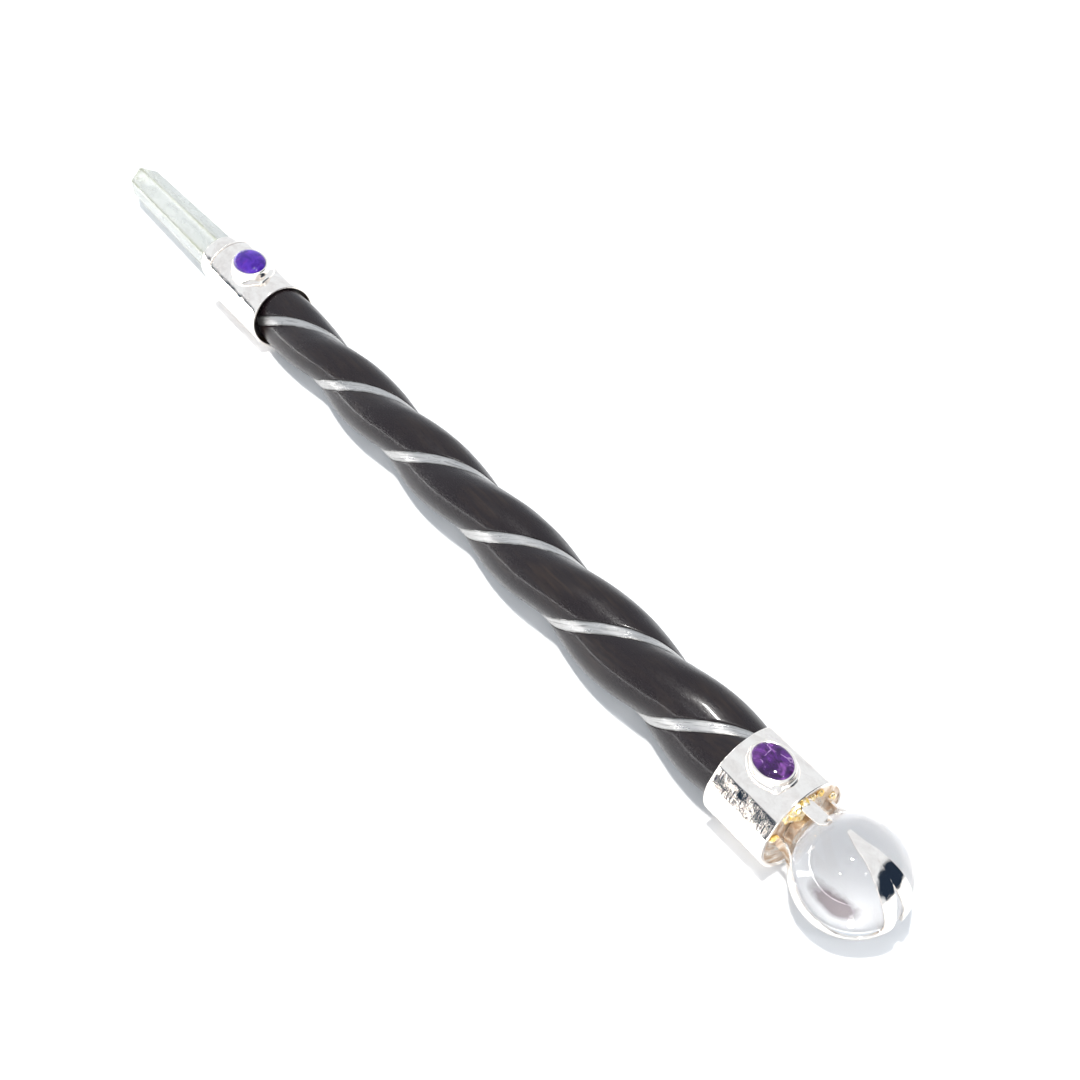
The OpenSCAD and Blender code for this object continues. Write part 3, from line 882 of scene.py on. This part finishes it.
class WAND_OT_bezels(bpy.types.Operator):
    """Make the oval base plates and the walls that hold the stones"""
    bl_idname = "wand.bezels"
    bl_label = "Bezels"

    sides = 112
    lump = 0.55 * MM
    lump_angle = 0.22
    lump_at = {"upper": math.radians(-12), "lower": math.radians(-40)}
    sunk = 0.05 * MM
    plate_lift = 0.45 * MM
    plate_steps = 6
    wall_t = 0.42 * MM
    waver = 0.05 * MM
    waver_len = 1.6 * MM
    # inset and rise, in millimetres, of the rings that lay the wall's lip over its stone
    lip = ((0.0, -0.55), (0.04, -0.30), (0.12, -0.10), (0.24, 0.0), (0.40, 0.02), (0.54, -0.03),
        (0.60, -0.14))

    def oval(self, x, half_len, half_w, height, lump_at=None):
        """A ring that may carry one solder lump, at a height that may depend on y."""
        ring = []
        for a in angles(self.sides):
            grow = 0.0
            if lump_at is not None:
                off = math.remainder(a - lump_at, 2 * math.pi) / self.lump_angle
                grow = self.lump * math.exp(-off * off)
            y = (half_w + grow) * math.sin(a)
            z = height(y) if callable(height) else height
            ring.append((x + (half_len + grow) * math.cos(a), y, z))
        return ring

    def execute(self, context):
        scene = context.scene
        turn = Matrix.Rotation(scene.wand_settings.stone_turn, 4, "X")
        silver = silver_finish("silver_bezel", scene.wand_colours, worn=0.08)
        for end, seat in (("upper", "upper_shoulder"), ("lower", "lower_sleeve")):
            sleeve = span(seat)[2]
            low, high = corners(end + "_bezel_plate", (WAND @ turn).inverted())
            wall_low, wall_high = corners(end + "_bezel_wall", (WAND @ turn).inverted())
            x = (low.x + high.x) / 2
            half_len, half_w = (high.x - low.x) / 2, (high.y - low.y) / 2
            wall_len, wall_w = (wall_high.x - wall_low.x) / 2, (wall_high.y - wall_low.y) / 2

            def on_sleeve(y, r=sleeve):
                return math.sqrt(r * r - y * y)

            top = high.z
            lump_at = self.lump_at[end]
            rings = [self.oval(x, half_len, half_w, lambda y: on_sleeve(y) - self.sunk, lump_at)]
            for i in range(self.plate_steps + 1):
                a = math.pi / 2 * i / self.plate_steps
                inset = self.plate_lift * (1 - math.cos(a))

                def edge(y, rise=self.plate_lift * math.sin(a)):
                    return min(top, on_sleeve(y) + rise)

                rings.append(self.oval(x, half_len - inset, half_w - inset, edge, lump_at))
            rings.append(self.oval(x, wall_len, wall_w, top))
            rings.append(self.oval(x, wall_len / 2, wall_w / 2, top))
            make_piece("plate_" + end, skin(rings), silver, [end + "_bezel_plate"], place=turn)

            rings = [self.oval(x, wall_len, wall_w, wall_low.z)]
            for inset, rise in self.lip:
                z = wall_high.z + rise * MM
                ring = self.oval(x, wall_len - inset * MM, wall_w - inset * MM, z)
                rings.append([(p[0], p[1], z + self.waver * noise.noise(Vector(p) / self.waver_len))
                    for p in ring])
            rings.append(self.oval(x, wall_len - self.wall_t, wall_w - self.wall_t, wall_low.z))
            shape = skin(rings, wrap=True)
            make_piece("wall_" + end, shape, silver, [end + "_bezel_wall"], place=turn)
        return {"FINISHED"}


class WAND_OT_stones(bpy.types.Operator):
    """Polish the two violet stones"""
    bl_idname = "wand.stones"
    bl_label = "Stones"

    sides = 96
    levels = 22
    fullness = 0.92

    def execute(self, context):
        scene = context.scene
        sizes = scene.wand_settings
        turn = Matrix.Rotation(sizes.stone_turn, 4, "X")
        finishes = {"upper": upper_stone_finish, "lower": lower_stone_finish}
        for end, finish in finishes.items():
            low, high = corners(end + "_stone", (WAND @ turn).inverted())
            edge = corners(end + "_bezel_wall", (WAND @ turn).inverted())[1].z - sizes.hold
            x = (low.x + high.x) / 2
            half_len, half_w = (high.x - low.x) / 2, (high.y - low.y) / 2

            def level(share, z):
                return [(x + half_len * share * math.cos(a), half_w * share * math.sin(a), z)
                    for a in angles(self.sides)]

            rings = [level(1.0, low.z), level(1.0, edge)]
            for i in range(1, self.levels):
                a = math.pi / 2 * i / self.levels
                rings.append(level(math.cos(a), edge + (high.z - edge) * math.sin(a) ** self.fullness))
            make_piece("stone_" + end, skin(rings), finish(scene.wand_colours), [end + "_stone"],
                place=turn, sharp=70)
        return {"FINISHED"}


class WAND_OT_quartz(bpy.types.Operator):
    """Cut the six-sided quartz point"""
    bl_idname = "wand.quartz"
    bl_label = "Quartz point"

    # how far each corner below the tip is set back, in millimetres
    set_back = (0.0, 1.4, 0.3, 2.0, 0.5, 0.9)
    ridge_thin = 0.25 * MM

    def execute(self, context):
        sizes = context.scene.wand_quartz
        start, end, reach = span("quartz_point")
        collar = span("upper_collar")[0]
        c, s = math.cos(sizes.ridge_angle), math.sin(sizes.ridge_angle)

        def hexagon(x, r, back=(0,) * 6):
            return [(x + b * MM, r * math.sin(a), r * math.cos(a)) for a, b in zip(angles(6), back)]

        tip = []
        for a in angles(6):
            p = sizes.ridge_half * math.cos(a - math.pi / 3), self.ridge_thin * math.sin(a - math.pi / 3)
            tip.append((start, p[0] * s + p[1] * c, p[0] * c - p[1] * s))
        rings = [tip, hexagon(start + sizes.tip_h, sizes.end_reach, self.set_back),
            hexagon(collar, reach), hexagon(end, reach)]
        make_piece("quartz", skin(rings), quartz_finish(context.scene.wand_colours), ["quartz_point"],
            sharp=20, bevel=sizes.edge_round)
        return {"FINISHED"}


class WAND_OT_ball(bpy.types.Operator):
    """Make the clear ball"""
    bl_idname = "wand.ball"
    bl_label = "Ball"

    def execute(self, context):
        start, end, _ = span("clear_ball")
        radius, middle = (end - start) / 2, (start + end) / 2
        ball = bmesh.new()
        bmesh.ops.create_icosphere(ball, subdivisions=6, radius=radius)
        verts = [(v.co.x + middle, v.co.y, v.co.z) for v in ball.verts]
        faces = [[v.index for v in f.verts] for f in ball.faces]
        ball.free()
        make_piece("ball", (verts, faces), clear_ball_finish(radius), ["clear_ball"],
            sharp=180, run=lambda p: p - Vector((middle, 0, 0)))
        return {"FINISHED"}


class Strap:
    """Edges of sheet straps near the ball, measured from its centre in millimetres."""

    def __init__(self, radius, thickness, gap, steps=10):
        self.skin_r = radius + gap
        self.thickness = thickness
        self.lean_from = 0.4 * radius
        self.steps = steps

    def on_ball(self, p):
        return Vector(p).normalized() * self.skin_r

    def off_ball(self, p):
        return self.on_ball(p) if p.length < self.skin_r else p

    def smooth(self, points):
        """A smooth curve through the points that never enters the ball."""
        out = []
        last = len(points) - 1
        for i in range(last):
            a, b, c, d = (points[max(0, min(last, i + k))] for k in (-1, 0, 1, 2))
            for k in range(self.steps):
                t = k / self.steps
                out.append(self.off_ball((2 * b + (c - a) * t + (2 * a - 5 * b + 4 * c - d) * t * t
                    + (3 * b - a - 3 * c + d) * t ** 3) / 2))
        return out + [points[-1]]

    def outward(self, p):
        lean = p.x if p.x > -self.lean_from else min(0.0, -2 * self.lean_from - p.x)
        return p + Vector((lean, p.y, p.z)).normalized() * self.thickness

    def rings(self, edge_a, edge_b, middles=3, crown=0.0):
        """Rings of a strap between two edges: its inner side, then its outer side, which may be domed."""
        rings = []
        for a, b in zip(self.smooth(edge_a), self.smooth(edge_b)):
            inner = [a] + [self.off_ball(a.lerp(b, (k + 1) / (middles + 1))) for k in range(middles)] + [b]
            swell = [1 + crown * (1 - (2 * k / (middles + 1) - 1) ** 2) for k in range(middles + 2)]
            rings.append(inner + [p.lerp(self.outward(p), s) for p, s in reversed(list(zip(inner, swell)))])
        return rings


def ball_place():
    """Ball's centre in the wand's frame, and its radius, both in millimetres."""
    start, end, _ = span("clear_ball")
    return Vector(((start + end) / 2 / MM, 0, 0)), (end - start) / 2 / MM


class WAND_OT_claw(bpy.types.Operator):
    """Bend the forked claw that holds the ball"""
    bl_idname = "wand.claw"
    bl_label = "Claw"

    # half widths of the leaf on each side, from its point down to the fork
    leaf_right = (0.32, 0.52, 1.52, 3.02, 3.2)
    leaf_left = (0.42, 1.48, 2.02, 2.92, 3.0)
    foot_x = -0.92
    edge_round = 0.14 * MM

    def edges(self, strap, radius, leaf, plate_x, foot_r):
        """Outer and inner edge of one strap, from the leaf's point round the ball to the end plate."""
        foot_x = self.foot_x * radius
        outer = [(-2.4, leaf[0], 10), (0.6, leaf[1], 10), (3.7, leaf[2], 9.5), (8.2, leaf[3], 5.5),
            (9.7, leaf[4], 1.4), (9.2, 3.3, -0.9), (8.2, 5.2, -2.1), (6.2, 7.6, -2.2), (3, 9.6, -0.6),
            (-0.6, 10, 0.6), (-4, 9, 1.8), (-7, 6.9, 2.1)]
        inner = [(-2.4, 0, 10), (0.6, 0, 10), (3.7, 0, 9.5), (7.2, 0, 7.2), (9.9, 0.9, 2), (9.7, 1.2, -2.4),
            (8.6, 3.6, -4.5), (6.6, 6.2, -5.2), (3.6, 8.8, -4), (-0.6, 9.8, -2.6), (-4, 9.1, -1.4),
            (-7, 7.1, -1)]
        outer_foot = [Vector((foot_x, foot_r + 0.3, 2.3)), Vector((plate_x, foot_r, 2.5))]
        inner_foot = [Vector((foot_x, foot_r + 0.3, -0.8)), Vector((plate_x, foot_r, -0.6))]
        return [strap.on_ball(p) for p in outer] + outer_foot, [strap.on_ball(p) for p in inner] + inner_foot

    def execute(self, context):
        scene = context.scene
        sizes = scene.wand_settings
        centre, radius = ball_place()
        plate_x = span("end_plate")[1] / MM - centre.x
        foot_r = bore("lower_sleeve") / MM - (sizes.claw_t + sizes.foot_inset) / MM
        strap = Strap(radius, sizes.claw_t / MM, sizes.claw_gap / MM)
        verts, faces = [], []
        for side, leaf in ((1, self.leaf_right), (-1, self.leaf_left)):
            rings = strap.rings(*self.edges(strap, radius, leaf, plate_x, foot_r))
            size, first = len(rings[0]), len(verts)
            shared = size // 2 - 1
            verts += [(centre + Vector((p.x, side * p.y, p.z))) * MM for ring in rings for p in ring]
            for i in range(len(rings) - 1):
                joined = max(abs(rings[i][shared].y), abs(rings[i + 1][shared].y)) < 1e-9
                for j in range(size):
                    if j == shared and joined:
                        continue
                    k = (j + 1) % size
                    faces.append([first + n for n in (i * size + j, i * size + k,
                        (i + 1) * size + k, (i + 1) * size + j)])
            faces.append([first + j for j in range(size)])
            faces.append([first + (len(rings) - 1) * size + j for j in range(size)])

        def run(p):
            q = p / MM - centre
            return Vector((math.atan2(q.x, q.z) * radius, q.y, q.length)) * MM

        silver = silver_finish("silver_claw", scene.wand_colours, worn=0.05)
        make_piece("claw", (verts, faces), silver, ["claw_fork"], run=run, sharp=50,
            bevel=self.edge_round)
        return {"FINISHED"}


class WAND_OT_prong(bpy.types.Operator):
    """Bend the short prong behind the ball"""
    bl_idname = "wand.prong"
    bl_label = "Rear prong"

    edge_round = 0.12 * MM

    def execute(self, context):
        scene = context.scene
        sizes = scene.wand_settings
        centre, radius = ball_place()
        plate_x = span("end_plate")[1] / MM - centre.x
        foot_r = bore("lower_sleeve") / MM - (sizes.claw_t + sizes.prong_inset) / MM
        strap = Strap(radius, sizes.claw_t / MM, sizes.claw_gap / MM, steps=8)
        bend = ((plate_x, foot_r), (-8.8, foot_r), (-6.9, 7.7), (-5.6, 8.5))
        half = sizes.prong_w / 2 / MM
        halves = (0.8 * half, 0.8 * half, 0.72 * half, 0.36 * half)
        shift = sizes.prong_shift / MM
        edges = [[Vector((x, shift + s * w, z)) for (x, z), w in zip(bend, halves)] for s in (1, -1)]
        rings = strap.rings(*edges, middles=7, crown=0.7)
        rings = [[(centre + p) * MM for p in ring] for ring in rings]
        silver = silver_finish("silver_prong", scene.wand_colours, worn=0.05)
        make_piece("prong", skin(rings), silver, ["rear_prong"], sharp=50,
            bevel=self.edge_round)
        return {"FINISHED"}


class WAND_OT_solder(bpy.types.Operator):
    """Drop the solder lumps on the end plate and at the prong's foot"""
    bl_idname = "wand.solder"
    bl_label = "Solder"

    # angle round the plate in degrees, radius in millimetres, and share of the full rise
    lumps = ((18, 0.9, 1.0), (62, 0.9, 0.8), (84, 1.2, 1.1), (97, 1.7, 1.6), (109, 1.9, 1.3),
        (121, 1.5, 0.9), (162, 0.9, 0.7))
    rise = 0.7
    sunk = 0.2 * MM
    swell = 0.28
    swell_len = 0.8 * MM

    def execute(self, context):
        sizes = context.scene.wand_settings
        face = span("end_plate")[1]
        limit = bore("lower_sleeve") - 0.05 * MM
        ring_r = bore("lower_sleeve") - sizes.claw_t - sizes.prong_inset - 0.5 * MM
        verts, faces = [], []
        for angle, radius, share in self.lumps:
            a = math.radians(angle)
            lump = bmesh.new()
            bmesh.ops.create_icosphere(lump, subdivisions=4, radius=radius * MM)
            first = len(verts)
            for v in lump.verts:
                p = v.co * (1 + self.swell * noise.noise(v.co / self.swell_len + Vector((angle, 0, 0))))
                out = Vector((ring_r * math.cos(a) + p.y, ring_r * math.sin(a) + p.z))
                out *= min(1.0, limit / out.length)
                verts.append((face + max(p.x * self.rise * share, -self.sunk), out.x, out.y))
            faces += [[first + v.index for v in f.verts] for f in lump.faces]
            lump.free()
        make_piece("solder", (verts, faces), solder_finish(context.scene.wand_colours), ["solder_beads"],
            sharp=180)
        return {"FINISHED"}


class WAND_OT_filling(bpy.types.Operator):
    """Give the cement, glue and seat their finishes"""
    bl_idname = "wand.filling"
    bl_label = "Cement, glue and seat"

    def execute(self, context):
        dress("quartz_cement", cement_finish())
        glue = glue_finish()
        dress("upper_glue", glue)
        dress("lower_glue", glue)
        dress("ball_seat", tarnish_finish(context.scene.wand_colours))
        return {"FINISHED"}


class WAND_OT_stage(bpy.types.Operator):
    """Lay the pale floor, light it softly and set up the camera"""
    bl_idname = "wand.stage"
    bl_label = "Stage"

    floor_half = 4.0
    key_shift = (0.05, -0.17, 1.2)
    key_size = 0.08
    key_colour = (1.0, 0.985, 0.96)
    lamp_size = 0.03
    lamp_distance = 0.6
    lamp_spread = 0.39
    gap_colour = (0.018, 0.030, 0.055)
    line_colour = (17.0, 17.0, 17.0)

    def camera(self, scene):
        """Sets up the camera, and returns its place and its right-hand direction."""
        s = scene.wand_stage
        level_reach = math.cos(s.elevation)
        back = Vector((level_reach * math.cos(s.azimuth), level_reach * math.sin(s.azimuth),
            math.sin(s.elevation)))
        level = Vector((-math.sin(s.azimuth), math.cos(s.azimuth), 0))
        rise = back.cross(level)
        right = level * math.cos(s.roll) + rise * math.sin(s.roll)
        up = rise * math.cos(s.roll) - level * math.sin(s.roll)
        pose = Matrix((right, up, back)).transposed().to_4x4()
        pose.translation = Vector(s.aim) + back * s.distance
        data = bpy.data.cameras.new("camera")
        data.lens = s.lens
        data.sensor_width = 36
        data.clip_start = 0.01
        obj = bpy.data.objects.new("camera", data)
        scene.collection.objects.link(obj)
        obj.matrix_world = WAND @ pose
        scene.camera = obj
        return obj.matrix_world.translation.copy(), WAND.to_3x3() @ right

    def lamp(self, scene, name, place, target, power, size, colour=(1, 1, 1)):
        """A round lamp turned toward its target."""
        data = bpy.data.lights.new(name, "AREA")
        data.shape = "DISK"
        data.size = size
        data.energy = power
        data.color = colour
        obj = bpy.data.objects.new(name, data)
        scene.collection.objects.link(obj)
        obj.location = place
        obj.rotation_euler = (place - target).to_track_quat("Z", "Y").to_euler()

    def surround(self, scene):
        """White surround, with a dark gap over a bright line on the left and a dark patch on the right."""
        world = bpy.data.worlds.new("surround")
        scene.world = world
        world.use_nodes = True
        n = Nodes(world.node_tree)
        direction = n.add("TexCoord").outputs["Generated"]
        height = n.part(direction, "Z")

        def toward(vector, near, far):
            return n.limits(n.dot(direction, Vector(vector).normalized()), far, near, smooth=True)

        left = toward((-0.56, -0.83, 0.0), 0.50, 0.15)
        right = toward((0.70, 0.42, 0.26), 0.90, 0.86)
        low = n.limits(height, 0.19, 0.13, smooth=True)
        line = n.limits(height, 0.040, 0.028, smooth=True)
        dark = n.math("MAXIMUM", n.math("MULTIPLY", low, left), right)
        shade = n.blend(dark, scene.wand_stage.sky, self.gap_colour)
        shade = n.blend(n.math("MULTIPLY", line, left), shade, self.line_colour)
        n.put(world.node_tree.nodes["Background"], Color=shade)

    def lay_floor(self, scene):
        """A wide pale sheet with a faint grain."""
        mesh = bpy.data.meshes.new("floor")
        h = self.floor_half
        mesh.from_pydata([(-h, -h, 0), (h, -h, 0), (h, h, 0), (-h, h, 0)], [], [(0, 1, 2, 3)])
        floor = bpy.data.objects.new("floor", mesh)
        scene.collection.objects.link(floor)
        f = Finish("floor")
        pale = scene.wand_stage.floor
        grain = f.add("TexNoise", Scale=900.0).outputs["Fac"]
        mesh.materials.append(f.surface(
            Base_Color=f.blend(grain, pale, tuple(0.985 * c for c in pale)),
            Roughness=0.9, Specular_IOR_Level=0.1))

    def execute(self, context):
        scene = context.scene
        s = scene.wand_stage
        eye, right = self.camera(scene)
        self.surround(scene)
        middle = WAND @ Vector(s.aim)
        ball = middle_of("clear_ball")
        self.lamp(scene, "overhead", middle + Vector(self.key_shift), middle, s.key_power, self.key_size,
            self.key_colour)
        for name, sign in (("lamp_left", -1), ("lamp_right", 1)):
            way = (eye - ball).normalized() * 0.92 + right * self.lamp_spread * sign
            self.lamp(scene, name, ball + way * self.lamp_distance, ball, s.lamp_power, self.lamp_size)
        self.lay_floor(scene)
        scene.view_settings.view_transform = "Standard"
        return {"FINISHED"}


class WAND_PT_pieces(bpy.types.Panel):
    """Lists the wand's pieces in the sidebar"""
    bl_idname = "WAND_PT_pieces"
    bl_label = "Crystal Wand"
    bl_space_type = "VIEW_3D"
    bl_region_type = "UI"
    bl_category = "Wand"

    def draw(self, context):
        for operator in OPERATORS:
            self.layout.operator(operator.bl_idname)


GROUPS = {"wand_twist": WandTwist, "wand_quartz": WandQuartz, "wand_settings": WandSettings,
    "wand_colours": WandColours, "wand_stage": WandStage}
OPERATORS = (WAND_OT_stage, WAND_OT_shaft, WAND_OT_strips, WAND_OT_upper_fitting, WAND_OT_lower_fitting,
    WAND_OT_bezels, WAND_OT_stones, WAND_OT_quartz, WAND_OT_ball, WAND_OT_claw, WAND_OT_prong,
    WAND_OT_solder, WAND_OT_filling)


def register():
    for group in GROUPS.values():
        bpy.utils.register_class(group)
    for operator in OPERATORS:
        bpy.utils.register_class(operator)
    bpy.utils.register_class(WAND_PT_pieces)
    for name, group in GROUPS.items():
        setattr(bpy.types.Scene, name, PointerProperty(type=group))


def unregister():
    for name in GROUPS:
        delattr(bpy.types.Scene, name)
    bpy.utils.unregister_class(WAND_PT_pieces)
    for operator in reversed(OPERATORS):
        bpy.utils.unregister_class(operator)
    for group in reversed(GROUPS.values()):
        bpy.utils.unregister_class(group)


def main():
    register()
    for operator in OPERATORS:
        getattr(bpy.ops.wand, operator.bl_idname.split(".")[1])()


if __name__ == "__main__":
    main()
